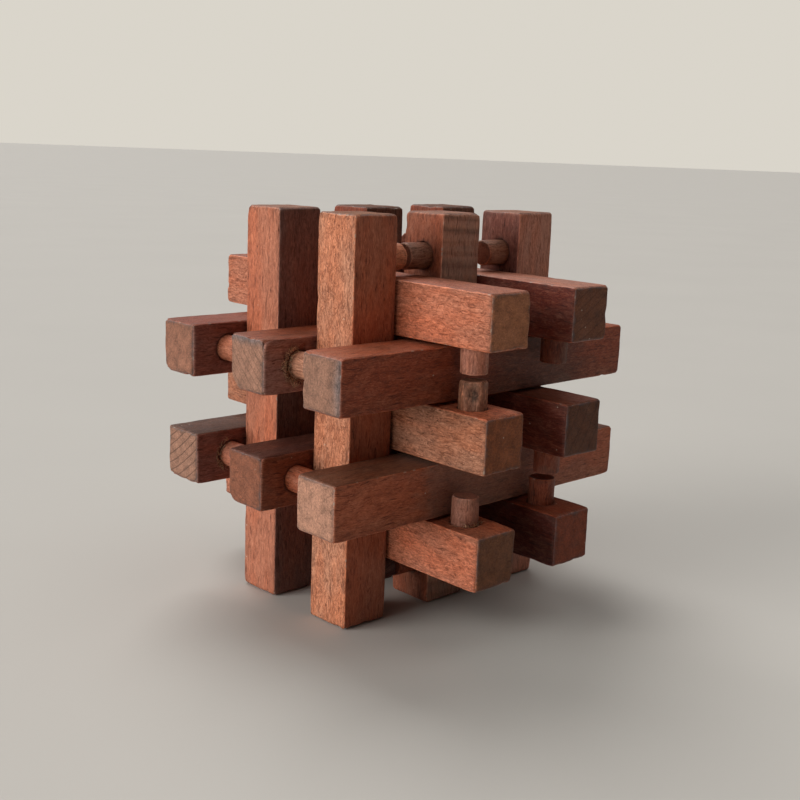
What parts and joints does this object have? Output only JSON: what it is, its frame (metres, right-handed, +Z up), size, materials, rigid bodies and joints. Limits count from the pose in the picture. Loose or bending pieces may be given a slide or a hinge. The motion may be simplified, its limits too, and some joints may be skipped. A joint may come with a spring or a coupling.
{
  "type": "wooden burr puzzle",
  "caption": "Interlocking puzzle of square wooden bars crossed in three directions, locked by short round pegs near their ends, with two key bars that pull out first.",
  "frame": {"origin": "the middle of the footprint, on the surface that the uprights stand on", "axes": "+Z up along the uprights; +X along the rails to the right; +Y along the crossbars to the back, and the keys pull out along -Y, to the front"},
  "size_m": [0.0763, 0.0758, 0.075],
  "materials": {
    "upright_wood": "reddish-brown stained beech, worn satin",
    "rail_wood": "dark reddish-brown stained beech, worn satin",
    "crossbar_wood": "orange-brown stained beech, worn satin",
    "key_wood": "orange-brown stained beech, worn satin",
    "peg_wood": "brown beech dowel, matte"
  },
  "bodies": {
    "uprights": {"front_left_upright": "upright_wood", "front_left_upright_bottom_peg": "peg_wood", "front_left_upright_top_peg": "peg_wood", "front_middle_upright": "upright_wood", "front_middle_upright_bottom_peg": "peg_wood", "front_middle_upright_top_peg": "peg_wood", "front_right_upright": "upright_wood", "front_right_upright_bottom_peg": "peg_wood", "front_right_upright_top_peg": "peg_wood", "back_left_upright": "upright_wood", "back_left_upright_bottom_peg": "peg_wood", "back_left_upright_top_peg": "peg_wood", "back_middle_upright": "upright_wood", "back_middle_upright_bottom_peg": "peg_wood", "back_middle_upright_top_peg": "peg_wood", "back_right_upright": "upright_wood", "back_right_upright_bottom_peg": "peg_wood", "back_right_upright_top_peg": "peg_wood"},
    "lower_front_rail": {"lower_front_rail": "rail_wood", "lower_front_rail_left_peg": "peg_wood", "lower_front_rail_right_peg": "peg_wood"},
    "lower_middle_rail": {"lower_middle_rail": "rail_wood", "lower_middle_rail_left_peg": "peg_wood", "lower_middle_rail_right_peg": "peg_wood"},
    "lower_back_rail": {"lower_back_rail": "rail_wood", "lower_back_rail_left_peg": "peg_wood", "lower_back_rail_right_peg": "peg_wood"},
    "upper_front_rail": {"upper_front_rail": "rail_wood", "upper_front_rail_left_peg": "peg_wood", "upper_front_rail_right_peg": "peg_wood"},
    "upper_middle_rail": {"upper_middle_rail": "rail_wood", "upper_middle_rail_left_peg": "peg_wood", "upper_middle_rail_right_peg": "peg_wood"},
    "upper_back_rail": {"upper_back_rail": "rail_wood", "upper_back_rail_left_peg": "peg_wood", "upper_back_rail_right_peg": "peg_wood"},
    "bottom_left_crossbar": {"bottom_left_crossbar": "crossbar_wood", "bottom_left_crossbar_front_peg": "peg_wood", "bottom_left_crossbar_back_peg": "peg_wood"},
    "bottom_right_crossbar": {"bottom_right_crossbar": "crossbar_wood", "bottom_right_crossbar_front_peg": "peg_wood", "bottom_right_crossbar_back_peg": "peg_wood"},
    "top_left_crossbar": {"top_left_crossbar": "crossbar_wood", "top_left_crossbar_front_peg": "peg_wood", "top_left_crossbar_back_peg": "peg_wood"},
    "top_right_crossbar": {"top_right_crossbar": "crossbar_wood", "top_right_crossbar_front_peg": "peg_wood", "top_right_crossbar_back_peg": "peg_wood"},
    "left_key_bar": {"left_key_bar": "key_wood", "left_key_bar_front_peg": "peg_wood"},
    "right_key_bar": {"right_key_bar": "key_wood", "right_key_bar_front_peg": "peg_wood"}
  },
  "joints": [
    {"name": "lower_front_rail_slide", "type": "slide", "parent": "uprights", "child": "lower_front_rail", "axis": [1, 0, 0], "range_m": [-0.0003, 0.0015]},
    {"name": "lower_middle_rail_slide", "type": "slide", "parent": "uprights", "child": "lower_middle_rail", "axis": [1, 0, 0], "range_m": [-0.0011, 0.0007]},
    {"name": "lower_back_rail_slide", "type": "slide", "parent": "uprights", "child": "lower_back_rail", "axis": [1, 0, 0], "range_m": [-0.0016, 0.0002]},
    {"name": "upper_front_rail_slide", "type": "slide", "parent": "uprights", "child": "upper_front_rail", "axis": [1, 0, 0], "range_m": [-0.001, 0.0008]},
    {"name": "upper_middle_rail_slide", "type": "slide", "parent": "uprights", "child": "upper_middle_rail", "axis": [1, 0, 0], "range_m": [-0.0014, 0.0004]},
    {"name": "upper_back_rail_slide", "type": "slide", "parent": "uprights", "child": "upper_back_rail", "axis": [1, 0, 0], "range_m": [-0.0008, 0.001]},
    {"name": "bottom_left_crossbar_slide", "type": "slide", "parent": "uprights", "child": "bottom_left_crossbar", "axis": [0, 1, 0], "range_m": [-0.0009, 0.0009]},
    {"name": "bottom_right_crossbar_slide", "type": "slide", "parent": "uprights", "child": "bottom_right_crossbar", "axis": [0, 1, 0], "range_m": [-0.0009, 0.0009]},
    {"name": "top_left_crossbar_slide", "type": "slide", "parent": "uprights", "child": "top_left_crossbar", "axis": [0, 1, 0], "range_m": [-0.0005, 0.0013]},
    {"name": "top_right_crossbar_slide", "type": "slide", "parent": "uprights", "child": "top_right_crossbar", "axis": [0, 1, 0], "range_m": [-0.0001, 0.0017]},
    {"name": "left_key_bar_pull", "type": "slide", "parent": "uprights", "child": "left_key_bar", "axis": [0, -1, 0], "range_m": [-0.0014, 0.08]},
    {"name": "right_key_bar_pull", "type": "slide", "parent": "uprights", "child": "right_key_bar", "axis": [0, -1, 0], "range_m": [-0.0017, 0.08]}
  ]
}
